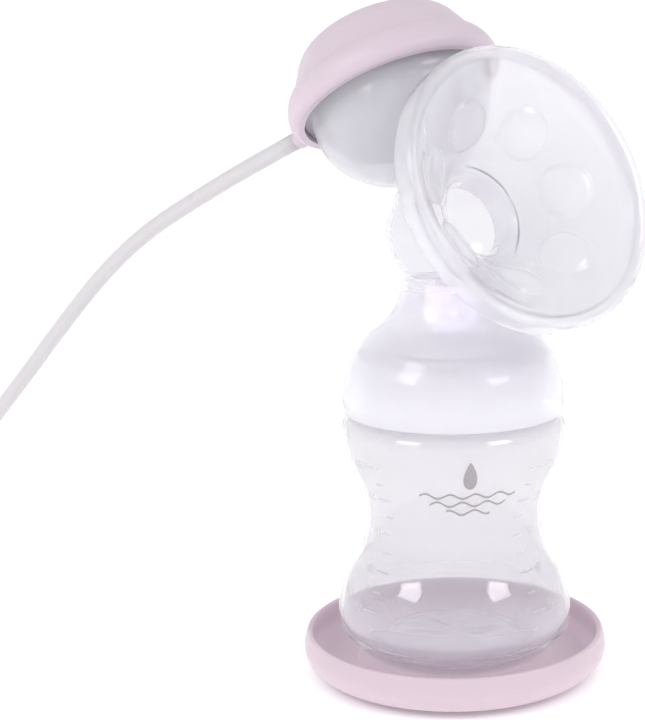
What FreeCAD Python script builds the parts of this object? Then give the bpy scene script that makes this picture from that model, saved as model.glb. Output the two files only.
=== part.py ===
"""Single electric breast pump standing in its round dish, as a parametric FreeCAD document (millimetres).

+Z is up and the origin is the centre of the dish's flat foot. +X points to the funnel, and XZ is the
plane of symmetry. The bottle, the dish and the dome of the pump body turn about Z. The bowl, the
diaphragm and the cap turn about the cap's axis, which leans back. The hard funnel and its soft
cushion turn about the funnel's axis, which points forward and up from the centre of the ball.
"""
import FreeCAD, Part
import math
import os
import Sketcher

DRIVING_SIZES = {
    # stand dish
    "stand_radius": 43.0,
    "stand_height": 12.0,
    "stand_belly_height": 7.4,
    "stand_mouth_radius": 42.2,
    "stand_wall": 1.8,
    "stand_heel_radius": 38.9,
    "stand_heel_height": 1.6,
    "foot_radius": 30.0,
    "trough_radius": 36.5,
    "trough_floor": 2.4,
    "plateau_radius": 26.8,
    "plateau_height": 7.0,
    # bottle
    "bottle_wall": 1.3,
    "bottle_foot_height": 7.1,
    "bottle_foot_inner": 20.5,
    "bottle_foot_outer": 23.2,
    "bottle_push_up": 2.3,
    "bottle_cone_radius": 29.85,
    "bottle_cone_height": 10.87,
    "bottle_radius": 33.1,
    "bottle_widest_height": 16.5,
    "waist_radius": 24.7,
    "waist_height": 45.0,
    "shoulder_radius": 31.2,
    "shoulder_height": 71.0,
    "shoulder_bend": 3.6,
    "bottle_neck_radius": 22.6,
    "bottle_neck_base": 76.5,
    "bottle_height": 92.5,
    "thread_radius": 23.9,
    "thread_start": 79.0,
    "thread_pitch": 4.5,
    "thread_half_width": 1.2,
    "foot_part_height": 12.0,
    "neck_part_height": 72.0,
    # pump body: dome, ball, bowl and hard funnel
    "body_wall": 1.8,
    "skirt_bottom": 75.6,
    "skirt_height": 78.5,
    "skirt_flare": 0.3,
    "dome_radius": 31.0,
    "dome_bend": 26.0,
    "body_neck_radius": 14.2,
    "body_neck_height": 112.0,
    "collar_bore": 24.3,
    "collar_wall": 1.5,
    "seal_bore": 20.2,
    "seal_height": 93.0,
    "seal_depth": 1.4,
    "ball_radius": 18.5,
    "ball_height": 125.3,
    "ball_floor": 113.6,
    "spigot_radius": 6.0,
    "spigot_bore": 4.5,
    "spigot_bottom": 105.0,
    "bowl_radius": 25.2,
    "bowl_depth": 23.8,
    "bowl_floor_bend": 27.5,
    "bowl_side_bend": 18.0,
    "bowl_side_height": -2.5,
    "bowl_wall": 1.5,
    "bowl_lip_radius": 27.0,
    "bowl_lip_height": 3.0,
    "bowl_neck_radius": 8.2,
    "drain_radius": 3.0,
    "drain_start": -19.0,
    "drain_end": -32.0,
    "funnel_lift": 25.0,
    "funnel_wall": 1.6,
    "funnel_bore": 12.4,
    "funnel_throat": 8.5,
    "funnel_cone_start": 14.0,
    "funnel_cone_radius": 17.0,
    "funnel_mouth_radius": 37.6,
    "funnel_mouth": 35.3,
    "dome_part_height": 112.8,
    "bowl_part_depth": 23.0,
    "bowl_part_foot": 12.0,
    "funnel_part_start": 10.0,
    "funnel_part_foot": 18.5,
    # duckbill valve
    "valve_clearance": 0.15,
    "valve_wall": 1.45,
    "valve_top": 111.2,
    "valve_hinge_height": 104.0,
    "valve_hinge_reach": 6.2,
    "valve_tip_height": 97.6,
    "valve_tip_gap": 0.6,
    "valve_lip_thickness": 1.2,
    "valve_lip_width": 10.0,
    # cap and diaphragm, on the leaning axis
    "cap_centre_x": -23.5,
    "cap_centre_z": 159.5,
    "cap_lean": 32.0,
    "cap_radius": 31.0,
    "cap_height": 25.0,
    "cap_edge_height": 0.3,
    "cap_belly_height": 3.2,
    "cap_step_height": 9.0,
    "cap_wall": 1.8,
    "clamp_inner": 24.2,
    "clamp_outer": 27.2,
    "clamp_bottom": 5.1,
    "clamp_height": 1.9,
    "membrane_bore": 23.9,
    "membrane_rim": 27.0,
    "membrane_height": 1.8,
    "membrane_cup_radius": 22.8,
    "membrane_cup_depth": 11.5,
    "membrane_wall": 1.0,
    # hose nozzle on the cap
    "nozzle_turn": 15.0,
    "nozzle_rise": 6.0,
    "nozzle_height": 4.5,
    "nozzle_start": 27.4,
    "nozzle_reach": 37.8,
    "nozzle_radius": 3.0,
    "nozzle_bore": 1.2,
    "nozzle_gap": 0.3,
    # massage cushion, on the funnel's axis
    "cushion_bore": 10.3,
    "cushion_gap": 0.3,
    "cushion_radius": 38.9,
    "cushion_back": 5.0,
    "cushion_hem": 30.2,
    "cushion_front": 37.3,
    # hose, its coil and its connector
    "hose_radius": 2.5,
    "coil_centre_x": -288.1,
    "coil_centre_y": -46.1,
    "coil_turn_radius": 27.6,
    "coil_lift": 0.6,
    "tie_band": 0.4,
    "tie_clearance": 0.12,
    "tie_width": 3.5,
    "connector_radius": 4.5,
    "connector_length": 22.0,
}

# The free stretch of the hose, from the nozzle's tip down to the coil on the table: (x, y, z) points.
HOSE_ROUTE = [
    (-58.9, -9.8, 147.3),
    (-78.1, -15.5, 138.0),
    (-98.4, -20.7, 127.6),
    (-117.4, -26.2, 117.2),
    (-134.6, -31.3, 104.6),
    (-152.3, -36.9, 87.5),
    (-184.5, -47.0, 52.8),
    (-208.5, -54.1, 29.0),
    (-230.6, -60.6, 12.6),
    (-249.7, -66.3, 4.4),
    (-267.0, -71.4, 2.5),
    (-279.5, -75.1, 2.5),
]

# The hose's other end, from the coil's top turn to the connector's socket.
TAIL_ROUTE = [
    (-318.3, -46.1, 8.3),
    (-318.3, -39.0, 7.2),
    (-318.2, -32.0, 5.2),
    (-318.1, -26.0, 4.6),
    (-317.9, -20.5, 4.6),
]

SHEET = "Sizes"


class Size:
    """A size with its value in millimetres (or degrees) and the sheet expression it comes from."""

    def __init__(self, value, text=None):
        self.value = float(value)
        self.text = text or repr(float(value))

    def _pair(self, other, sign, value):
        return Size(value, "(%s %s %s)" % (self.text, sign, other.text))

    def __add__(self, other):
        other = as_size(other)
        return self._pair(other, "+", self.value + other.value)

    def __sub__(self, other):
        other = as_size(other)
        return self._pair(other, "-", self.value - other.value)

    def __mul__(self, other):
        other = as_size(other)
        return self._pair(other, "*", self.value * other.value)

    def __truediv__(self, other):
        other = as_size(other)
        return self._pair(other, "/", self.value / other.value)

    def __neg__(self):
        return Size(-self.value, "(-%s)" % self.text)

    def __radd__(self, other):
        return as_size(other) + self

    def __rsub__(self, other):
        return as_size(other) - self

    def __rmul__(self, other):
        return as_size(other) * self


def as_size(value):
    return value if isinstance(value, Size) else Size(value)


def root(size):
    return Size(math.sqrt(size.value), "sqrt(%s)" % size.text)


def side_of(long_side, short_side):
    """The other short side of a right-angled triangle."""
    return root(long_side * long_side - short_side * short_side)


def sine(angle):
    return Size(math.sin(math.radians(angle.value)), "sin(1deg * %s)" % angle.text)


def cosine(angle):
    return Size(math.cos(math.radians(angle.value)), "cos(1deg * %s)" % angle.text)


class Sheet:
    """The spreadsheet of driving sizes, read as attributes."""

    def __init__(self, document, sizes):
        self.sizes = sizes
        self.cells = document.addObject("Spreadsheet::Sheet", SHEET)
        for row, (name, value) in enumerate(sizes.items(), start=1):
            self.cells.set("A%d" % row, name)
            self.cells.set("B%d" % row, repr(value))
            self.cells.setAlias("B%d" % row, name)
        document.recompute()

    def __getattr__(self, name):
        return Size(self.sizes[name], "%s.%s" % (SHEET, name))


doc = FreeCAD.newDocument("BreastPump")
d = Sheet(doc, DRIVING_SIZES)
nodes = []


def node(thing):
    """Marks a finished sub-part: its label names its file."""
    nodes.append(thing)
    return thing


# ---- sketches and bodies -----------------------------------------------------------------------


def arc_between(start, end, bend):
    """The arc from start to end. Its centre is left of the way along it when bend is positive."""
    dx, dy = end[0] - start[0], end[1] - start[1]
    chord = math.hypot(dx, dy)
    rise = math.sqrt(max(bend * bend - chord * chord / 4, 0.0))
    side = 1 if bend > 0 else -1
    centre = (
        (start[0] + end[0]) / 2 - side * dy / chord * rise,
        (start[1] + end[1]) / 2 + side * dx / chord * rise,
    )
    first = math.atan2(start[1] - centre[1], start[0] - centre[0])
    last = math.atan2(end[1] - centre[1], end[0] - centre[0])
    if side < 0:
        first, last = last, first
    circle = Part.Circle(FreeCAD.Vector(*centre, 0), FreeCAD.Vector(0, 0, 1), abs(bend))
    return Part.ArcOfCircle(circle, first, last)


def place_point(constraints, bound, geometry, position, across, up):
    """Holds one outline point at its sizes, measured from the sketch's origin."""
    for kind, axis, size in (("DistanceX", -2, across), ("DistanceY", -1, up)):
        if abs(size.value) < 1e-9:
            constraints.append(Sketcher.Constraint("PointOnObject", geometry, position, axis))
            continue
        ends = (-1, 1, geometry, position) if size.value > 0 else (geometry, position, -1, 1)
        text = size.text if size.value > 0 else (-size).text
        bound.append((len(constraints), text))
        constraints.append(Sketcher.Constraint(kind, *ends, abs(size.value)))


def outline_sketch(body, name, outline):
    """A closed sketch on the body's XZ plane.

    Each outline point is (across, up) where a straight line arrives at it, or (across, up, bend)
    where an arc of that radius does: a positive bend curves to the left, a negative one to the right.
    """
    sketch = body.newObject("Sketcher::SketchObject", name)
    plane = [p for p in body.Origin.OriginFeatures if p.Role == "XZ_Plane"][0]
    sketch.AttachmentSupport = [(plane, "")]
    sketch.MapMode = "FlatFace"
    points = [tuple(as_size(part) for part in point) for point in outline]
    geometry, constraints, bound = [], [], []
    for index, end in enumerate(points):
        start = points[index - 1]
        first, last = (start[0].value, start[1].value), (end[0].value, end[1].value)
        if len(end) == 3:
            geometry.append(arc_between(first, last, end[2].value))
        else:
            geometry.append(Part.LineSegment(FreeCAD.Vector(*first, 0), FreeCAD.Vector(*last, 0)))
    for index, end in enumerate(points):
        following = (index + 1) % len(points)
        arriving = 1 if len(end) == 3 and end[2].value < 0 else 2
        leaves = points[following]
        leaving = 2 if len(leaves) == 3 and leaves[2].value < 0 else 1
        constraints.append(Sketcher.Constraint("Coincident", index, arriving, following, leaving))
        place_point(constraints, bound, index, arriving, end[0], end[1])
        if len(end) == 3:
            text = end[2].text if end[2].value > 0 else (-end[2]).text
            bound.append((len(constraints), text))
            constraints.append(Sketcher.Constraint("Radius", index, abs(end[2].value)))
    sketch.addGeometry(geometry, False)
    sketch.addConstraint(constraints)
    for number, text in bound:
        sketch.setExpression("Constraints[%d]" % number, text)
    return sketch


def turned(label, outline):
    """A body turned about its own Z axis from half its section."""
    body = doc.addObject("PartDesign::Body", label)
    sketch = outline_sketch(body, label + "_section", outline)
    turn = body.newObject("PartDesign::Revolution", label + "_turn")
    turn.Profile = sketch
    turn.ReferenceAxis = (sketch, ["V_Axis"])
    turn.Angle = 360.0
    sketch.Visibility = False
    body.Tip = turn
    return body


def place(thing, x=0.0, y=0.0, z=0.0, lean=0.0):
    """Puts a sub-part at (x, y, z), leaning from +Z towards +X by an angle."""
    thing.Placement = FreeCAD.Placement(FreeCAD.Vector(), FreeCAD.Rotation(FreeCAD.Vector(0, 1, 0), 1))
    for axis, size in (("x", x), ("y", y), ("z", z)):
        thing.setExpression("Placement.Base." + axis, as_size(size).text)
    thing.setExpression("Placement.Rotation.Angle", as_size(lean).text)
    return thing


def on_cap_axis(thing):
    return place(thing, d.cap_centre_x, 0, d.cap_centre_z, -d.cap_lean)


def on_funnel_axis(thing):
    return place(thing, 0, 0, d.ball_height, 90 - d.funnel_lift)


def cylinder(name, radius, bottom, top):
    """A plain round bar along Z, used in booleans."""
    bar = doc.addObject("Part::Cylinder", name)
    bar.setExpression("Radius", as_size(radius).text)
    bar.setExpression("Height", (as_size(top) - bottom).text)
    return place(bar, z=bottom)


def fused(name, pieces):
    whole = doc.addObject("Part::MultiFuse", name)
    whole.Shapes = pieces
    whole.Refine = True
    return whole


def cut(name, base, tool):
    rest = doc.addObject("Part::Cut", name)
    rest.Base = base
    rest.Tool = tool
    return rest


def common(name, base, tool):
    shared = doc.addObject("Part::Common", name)
    shared.Base = base
    shared.Tool = tool
    return shared


# ---- stand dish ---------------------------------------------------------------------------------


def stand_dish():
    """A round dish: a barrel wall, a trough, and the raised plateau that the bottle stands on."""
    rim = d.stand_wall * 0.45
    edge_bend = 1.4
    rim_centre = d.stand_mouth_radius - rim
    belly_bend = 11.8
    return turned("stand_dish", [
        (0, 0),
        (d.foot_radius, 0),
        (d.stand_heel_radius, d.stand_heel_height, 26.0),
        (d.stand_radius, d.stand_belly_height, 6.2),
        (d.stand_mouth_radius, d.stand_height - rim, belly_bend),
        (rim_centre, d.stand_height, rim),
        (rim_centre - rim, d.stand_height - rim, rim),
        (d.stand_radius - d.stand_wall, d.stand_belly_height, -belly_bend),
        (d.trough_radius, d.trough_floor, -5.0),
        (d.plateau_radius + 2.2, d.trough_floor),
        (d.plateau_radius + 0.7, d.trough_floor + 1.5, -1.5),
        (d.plateau_radius, d.plateau_height - edge_bend),
        (d.plateau_radius - edge_bend, d.plateau_height, edge_bend),
        (0, d.plateau_height),
    ])


# ---- bottle -------------------------------------------------------------------------------------


def hourglass(inset):
    """The side of the bottle from its widest ring to its shoulder: two S-curves that meet at the waist."""
    lower_rise = d.waist_height - d.bottle_widest_height
    lower_step = d.bottle_radius - d.waist_radius
    lower_bend = (lower_rise * lower_rise + lower_step * lower_step) / (4 * lower_step)
    upper_rise = d.shoulder_height - d.waist_height
    upper_step = d.shoulder_radius - d.waist_radius
    upper_bend = (upper_rise * upper_rise + upper_step * upper_step) / (4 * upper_step)
    return [
        (d.waist_radius + lower_step / 2 - inset, d.waist_height - lower_rise / 2, lower_bend),
        (d.waist_radius - inset, d.waist_height, -lower_bend),
        (d.waist_radius + upper_step / 2 - inset, d.waist_height + upper_rise / 2, -upper_bend),
        (d.shoulder_radius - inset, d.shoulder_height, upper_bend),
    ]


def reversed_outline(start, points):
    """The same arcs run the other way: start is the point before the first of them."""
    ends = [start] + points
    turned_round = []
    for before, after in zip(ends[-2::-1], ends[:0:-1]):
        turned_round.append(before[:2] + ((-after[2],) if len(after) == 3 else ()))
    return turned_round


def bottle_moulding():
    """A wide-necked bottle with a pushed-up base, a cone above the standing ring and a threaded neck."""
    wall = d.bottle_wall
    corner_bend = 6.5
    neck_bend = 1.4
    neck_inner = d.bottle_neck_radius - wall
    thread = []
    for turn in range(3):
        middle = d.thread_start + turn * d.thread_pitch
        thread += [
            (d.bottle_neck_radius, middle - d.thread_half_width),
            (d.thread_radius, middle - d.thread_half_width / 2),
            (d.thread_radius, middle + d.thread_half_width / 2),
            (d.bottle_neck_radius, middle + d.thread_half_width),
        ]
    inner_widest = (d.bottle_radius - wall, d.bottle_widest_height)
    inner_side = reversed_outline(inner_widest, hourglass(wall))
    return turned("bottle_moulding", [
        (0, d.bottle_foot_height + d.bottle_push_up),
        (d.bottle_foot_inner - 3.5, d.bottle_foot_height + d.bottle_push_up - 0.4),
        (d.bottle_foot_inner, d.bottle_foot_height),
        (d.bottle_foot_outer, d.bottle_foot_height),
        (d.bottle_cone_radius, d.bottle_cone_height),
        (d.bottle_radius, d.bottle_widest_height, corner_bend),
        *hourglass(0),
        (d.shoulder_radius - 3.4, d.shoulder_height + 3.6, d.shoulder_bend),
        (d.bottle_neck_radius + neck_bend, d.bottle_neck_base - neck_bend),
        (d.bottle_neck_radius, d.bottle_neck_base, -neck_bend),
        *thread,
        (d.bottle_neck_radius, d.bottle_height),
        (neck_inner, d.bottle_height),
        (neck_inner, d.bottle_neck_base),
        (neck_inner + neck_bend + wall, d.bottle_neck_base - neck_bend - wall, neck_bend + wall),
        (d.shoulder_radius - 3.9, d.shoulder_height + 2.3),
        (d.shoulder_radius - wall, d.shoulder_height, -(d.shoulder_bend - 1)),
        *inner_side,
        (d.bottle_cone_radius - 0.75, d.bottle_cone_height + 1.2, -(corner_bend - wall)),
        (d.bottle_foot_outer - 0.4, d.bottle_foot_height + wall),
        (d.bottle_foot_inner + 0.3, d.bottle_foot_height + wall),
        (d.bottle_foot_inner - 3.2, d.bottle_foot_height + d.bottle_push_up + wall - 0.4),
        (0, d.bottle_foot_height + d.bottle_push_up + wall),
    ])


def bottle():
    """The bottle's moulding, parted into foot, side and neck, so that each is a simple hollow."""
    moulding = bottle_moulding()
    heights = [d.bottle_foot_height - 2, d.foot_part_height, d.neck_part_height, d.bottle_height + 1]
    return [
        common("bottle_" + part, moulding, cylinder(part + "_space", d.bottle_radius + 2, low, high))
        for part, low, high in zip(("foot", "side", "neck"), heights, heights[1:])
    ]


# ---- pump body ----------------------------------------------------------------------------------


def dome_curves(inset):
    """The dome's shoulder and the neck above it, as two arcs that touch: (touching point, top point)."""
    centre = d.dome_radius - d.dome_bend
    rise = d.body_neck_height - d.skirt_height
    run = d.body_neck_radius - centre
    neck_bend = (run * run + rise * rise - d.dome_bend * d.dome_bend) / (2 * (d.dome_bend - run))
    share = (d.dome_bend - inset) / (d.dome_bend + neck_bend)
    touching = (
        centre + (d.body_neck_radius + neck_bend - centre) * share,
        d.skirt_height + rise * share,
        d.dome_bend - inset,
    )
    top = (d.body_neck_radius - inset, d.body_neck_height, -(neck_bend + inset))
    return touching, top


def dome_reach(height):
    """The radius of the dome's inner wall at a height above the skirt's widest ring, or below it."""
    return d.dome_radius - d.dome_bend + side_of(d.dome_bend - d.body_wall, height - d.skirt_height)


def funnel_line(outer):
    """The hard funnel's side, from the ball to its mouth, outside or inside."""
    if outer:
        return [
            (d.funnel_bore + d.funnel_wall, d.funnel_throat),
            (d.funnel_cone_radius, d.funnel_cone_start, -9.0),
            (d.funnel_mouth_radius - 3.1, d.funnel_mouth - 4.8),
            (d.funnel_mouth_radius, d.funnel_mouth - 2.3, 4.0),
            (d.funnel_mouth_radius, d.funnel_mouth),
        ]
    return [
        (d.funnel_bore, d.funnel_throat + 1.0),
        (d.funnel_cone_radius - 1.1, d.funnel_cone_start + 1.2, -10.6),
        (d.funnel_mouth_radius - 4.2, d.funnel_mouth - 3.6),
        (d.funnel_mouth_radius - d.funnel_wall, d.funnel_mouth - 0.7, 6.0),
        (d.funnel_mouth_radius - d.funnel_wall, d.funnel_mouth + 1.0),
    ]


def bowl_line(inset):
    """The bowl's round floor and side, up to the height where its lip begins."""
    floor_centre = d.bowl_floor_bend - d.bowl_depth
    side_centre = d.bowl_radius - d.bowl_side_bend
    drop = floor_centre - d.bowl_side_height
    reach = root(side_centre * side_centre + drop * drop)
    share = (d.bowl_floor_bend - inset) / reach
    return [
        (side_centre * share, floor_centre - drop * share, d.bowl_floor_bend - inset),
        (d.bowl_radius - inset, d.bowl_side_height, d.bowl_side_bend - inset),
    ]


def body_moulding():
    """The one-piece clear body: dome over the bottle's neck, ball, leaning bowl and hard funnel."""
    below = d.skirt_bottom - 1
    touching, top = dome_curves(0)
    dome = turned("body_dome", [
        (0, d.skirt_bottom),
        (d.dome_radius - d.skirt_flare, d.skirt_bottom),
        (d.dome_radius, d.skirt_height),
        touching,
        top,
        (d.body_neck_radius, d.body_neck_height + 2.5),
        (0, d.body_neck_height + 2.5),
    ])
    inner_touching, inner_top = dome_curves(d.body_wall)
    seal_top = d.seal_height + d.seal_depth
    dome_hollow = turned("body_dome_hollow", [
        (0, below),
        (d.collar_bore, below),
        (d.collar_bore, d.seal_height),
        (d.seal_bore, d.seal_height),
        (d.seal_bore, seal_top),
        (dome_reach(seal_top), seal_top),
        inner_touching,
        inner_top,
        (0, d.body_neck_height),
    ])
    collar = d.collar_bore + d.collar_wall
    centre = d.dome_radius - d.dome_bend
    skirt_hollow = turned("body_skirt_hollow", [
        (collar, below),
        (dome_reach(d.skirt_bottom), below),
        (dome_reach(d.skirt_bottom), d.skirt_bottom),
        (collar, d.skirt_height + side_of(d.dome_bend - d.body_wall, collar - centre), d.dome_bend - d.body_wall),
    ])

    ball = doc.addObject("Part::Sphere", "body_ball")
    ball.setExpression("Radius", d.ball_radius.text)
    place(ball, z=d.ball_height)
    ball_hollow = doc.addObject("Part::Sphere", "body_ball_hollow")
    inner_ball = d.ball_radius - (d.body_wall - 0.2)
    ball_hollow.setExpression("Radius", inner_ball.text)
    ball_hollow.setExpression("Angle1", "-asin(%s)" % ((d.ball_height - d.ball_floor) / inner_ball).text)
    place(ball_hollow, z=d.ball_height)

    lip = d.bowl_lip_radius
    neck_bend = 1.6
    neck_meet = d.bowl_neck_radius + 1.5
    neck_top = d.bowl_floor_bend - d.bowl_depth - side_of(d.bowl_floor_bend, neck_meet)
    bowl = on_cap_axis(turned("body_bowl", [
        (0, neck_top - 4),
        (d.bowl_neck_radius, neck_top - 4),
        (d.bowl_neck_radius, neck_top - 1.5),
        (neck_meet, neck_top, -neck_bend),
        *bowl_line(0),
        (d.bowl_radius, d.bowl_lip_height - 2),
        (lip, d.bowl_lip_height - 1.4),
        (lip, d.bowl_lip_height),
        (0, d.bowl_lip_height),
    ]))
    bowl_hollow = on_cap_axis(turned("body_bowl_hollow", [
        (0, d.bowl_wall - d.bowl_depth),
        *bowl_line(d.bowl_wall),
        (d.bowl_radius - d.bowl_wall, d.bowl_lip_height + 1),
        (0, d.bowl_lip_height + 1),
    ]))
    drain = on_cap_axis(turned("body_drain", [
        (0, d.drain_end),
        (d.drain_radius, d.drain_end),
        (d.drain_radius, d.drain_start),
        (0, d.drain_start),
    ]))

    funnel = on_funnel_axis(turned("body_funnel", [
        (0, 4),
        (d.funnel_bore + d.funnel_wall, 4),
        *funnel_line(True),
        (0, d.funnel_mouth),
    ]))
    funnel_hollow = on_funnel_axis(turned("body_funnel_hollow", [
        (0, 0),
        (d.funnel_bore, 0),
        *funnel_line(False),
        (0, d.funnel_mouth + 1.0),
    ]))

    solid = fused("body_outside", [dome, ball, bowl, funnel])
    hollow = fused("body_inside", [dome_hollow, skirt_hollow, ball_hollow, bowl_hollow, drain, funnel_hollow])
    shell = cut("body_shell", solid, hollow)
    spigot = cylinder("body_spigot", d.spigot_radius, d.spigot_bottom, d.body_neck_height + 0.5)
    bore = cylinder("body_spigot_bore", d.spigot_bore, d.spigot_bottom - 1, d.ball_floor + 1)
    return cut("body_moulding", fused("body_with_spigot", [shell, spigot]), bore)


def pump_body():
    """The body's moulding, parted into dome, ball, bowl and funnel, so that each is a simple hollow."""
    moulding = body_moulding()
    below = d.skirt_bottom - 1
    past_dome = d.dome_radius + 2
    dome_space = turned("dome_space", [
        (0, below),
        (past_dome, below),
        (past_dome, d.seal_height - 3),
        (d.body_neck_radius + d.body_wall, d.dome_part_height),
        (0, d.dome_part_height),
    ])
    past_bowl = d.bowl_lip_radius + 4
    bowl_space = on_cap_axis(turned("bowl_space", [
        (0, -d.bowl_part_depth),
        (d.bowl_part_foot, -d.bowl_part_depth),
        (past_bowl, d.bowl_side_height - 6.5),
        (past_bowl, d.bowl_lip_height + 1),
        (0, d.bowl_lip_height + 1),
    ]))
    past_funnel = d.funnel_mouth_radius + 2.4
    funnel_space = on_funnel_axis(turned("funnel_space", [
        (0, d.funnel_part_start),
        (d.funnel_part_foot, d.funnel_part_start),
        (past_funnel, d.funnel_mouth - 3.3),
        (past_funnel, d.funnel_mouth + 1.7),
        (0, d.funnel_mouth + 1.7),
    ]))
    return [
        common("pump_dome", moulding, dome_space),
        cut("pump_ball", moulding, fused("parted_spaces", [dome_space, bowl_space, funnel_space])),
        common("pump_bowl", moulding, bowl_space),
        common("pump_funnel", moulding, funnel_space),
    ]


# ---- duckbill valve -----------------------------------------------------------------------------


def valve_sleeve():
    """The soft tube of the valve, pushed up over the spigot."""
    inner = d.spigot_radius + d.valve_clearance
    outer = inner + d.valve_wall
    bottom = d.valve_hinge_height + 0.25
    return turned("valve_sleeve", [
        (inner, bottom),
        (outer, bottom),
        (outer, d.valve_top),
        (inner, d.valve_top),
    ])


def valve_lip(label, side):
    """One of the two flat lips that close on each other below the sleeve. side is +1 or -1 along X."""
    body = doc.addObject("PartDesign::Body", label)
    near = d.valve_hinge_reach - d.valve_lip_thickness
    tip = d.valve_tip_gap / 2
    sketch = outline_sketch(body, label + "_section", [
        (side * tip, d.valve_tip_height),
        (side * (tip + d.valve_lip_thickness), d.valve_tip_height),
        (side * d.valve_hinge_reach, d.valve_hinge_height),
        (side * near, d.valve_hinge_height),
    ])
    pad = body.newObject("PartDesign::Pad", label + "_pad")
    pad.Profile = sketch
    pad.setExpression("Length", d.valve_lip_width.text)
    pad.Midplane = True
    sketch.Visibility = False
    body.Tip = pad
    return body


# ---- diaphragm and cap --------------------------------------------------------------------------


def diaphragm_rim():
    """The membrane's thick outer ring, which lies on the bowl's lip."""
    bottom = d.bowl_lip_height + 0.1
    return on_cap_axis(turned("diaphragm_rim", [
        (d.membrane_bore, bottom),
        (d.membrane_rim, bottom),
        (d.membrane_rim, bottom + d.membrane_height),
        (d.membrane_bore, bottom + d.membrane_height),
    ]))


def diaphragm_cup():
    """The membrane's moving cup, which hangs into the bowl and is drawn up by suction."""
    wall = d.membrane_wall
    top = d.bowl_lip_height + 1.6
    side = d.membrane_cup_radius
    floor = -d.membrane_cup_depth
    bend = 5.0
    return on_cap_axis(turned("diaphragm_cup", [
        (0, floor),
        (side - 2.3 - bend, floor + 0.5),
        (side - 2.3, floor + 0.5 + bend, bend),
        (side - 1.2, top - 2.1),
        (side, top),
        (side - wall - 0.1, top + 0.2),
        (side - wall - 1.2, top - 2.0),
        (side - wall - 2.3, floor + 0.5 + bend),
        (side - 2.3 - bend, floor + 0.5 + wall, -(bend - wall)),
        (0, floor + wall),
    ]))


def nozzle_axis(thing, start):
    """Turns a part that is built along Z to the nozzle's direction, start millimetres from the cap's axis."""
    cap_frame = FreeCAD.Placement(
        FreeCAD.Vector(d.cap_centre_x.value, 0, d.cap_centre_z.value),
        FreeCAD.Rotation(FreeCAD.Vector(0, 1, 0), -d.cap_lean.value),
    )
    aim = FreeCAD.Rotation(FreeCAD.Vector(0, 0, 1), d.nozzle_turn.value).multiply(
        FreeCAD.Rotation(FreeCAD.Vector(0, 1, 0), d.nozzle_rise.value - 90)
    )
    shift = aim.multVec(FreeCAD.Vector(0, 0, as_size(start).value))
    height = FreeCAD.Vector(0, 0, d.nozzle_height.value)
    thing.Placement = cap_frame.multiply(FreeCAD.Placement(shift + height, aim))
    return thing


def crown_bend(run, rise):
    """The radius of a round crown whose centre is on the axis."""
    return (run * run + rise * rise) / (2 * rise)


def cap_shell():
    """The opaque cap: a rounded dome, a step, and a skirt that flares out to a rolled edge."""
    wall = d.cap_wall
    edge = d.cap_edge_height
    crown = d.cap_radius - 14.0
    crown_rise = Size(2.8)
    shell = on_cap_axis(turned("cap_dome", [
        (d.cap_radius - 3.5, edge),
        (d.cap_radius - 1.7, edge),
        (d.cap_radius, d.cap_belly_height, 3.0),
        (d.cap_radius - 2.1, d.cap_step_height, 9.5),
        (d.cap_radius - 3.6, d.cap_step_height + 0.6),
        (d.cap_radius - 6.6, d.cap_height - 9.2, 40.0),
        (crown, d.cap_height - crown_rise, 11.0),
        (0, d.cap_height, crown_bend(crown, crown_rise)),
        (0, d.cap_height - wall),
        (crown - 0.7, d.cap_height - wall - crown_rise, -crown_bend(crown - 0.7, crown_rise)),
        (d.cap_radius - 8.2, d.cap_height - 9.6, -9.5),
        (d.cap_radius - 5.0, d.cap_step_height - 0.4),
        (d.cap_radius - 3.5, d.cap_step_height - 1.0),
    ]))
    hole = doc.addObject("Part::Cylinder", "cap_nozzle_hole")
    hole.setExpression("Radius", (d.nozzle_radius + 0.05).text)
    hole.setExpression("Height", d.nozzle_reach.text)
    nozzle_axis(hole, d.nozzle_reach * 0.6)
    return cut("cap_shell", shell, hole)


def cap_inner_ring():
    """The clamping ring inside the cap, which holds the membrane's rim down."""
    return on_cap_axis(turned("cap_inner_ring", [
        (d.clamp_inner, d.clamp_bottom),
        (d.clamp_outer, d.clamp_bottom),
        (d.clamp_outer, d.clamp_bottom + d.clamp_height),
        (d.clamp_inner, d.clamp_bottom + d.clamp_height),
    ]))


def within_reach(name, radius):
    """A round space about the cap's axis. Pieces that end on its side slide past each other as the cap lifts."""
    return on_cap_axis(cylinder(name, radius, 0, d.cap_height - 5))


def hose_nozzle():
    """The short tube on the cap's side that the hose is pushed onto."""
    length = d.nozzle_reach - d.nozzle_start + 0.15
    round_off = 0.4
    nozzle = turned("nozzle_tube", [
        (d.nozzle_bore, 0),
        (d.nozzle_radius, 0),
        (d.nozzle_radius, length - round_off),
        (d.nozzle_radius - round_off, length, round_off),
        (d.nozzle_bore, length),
    ])
    tip = within_reach("nozzle_space", d.nozzle_reach)
    return common("hose_nozzle", nozzle_axis(nozzle, d.nozzle_start), tip)


# ---- massage cushion ----------------------------------------------------------------------------


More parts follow.
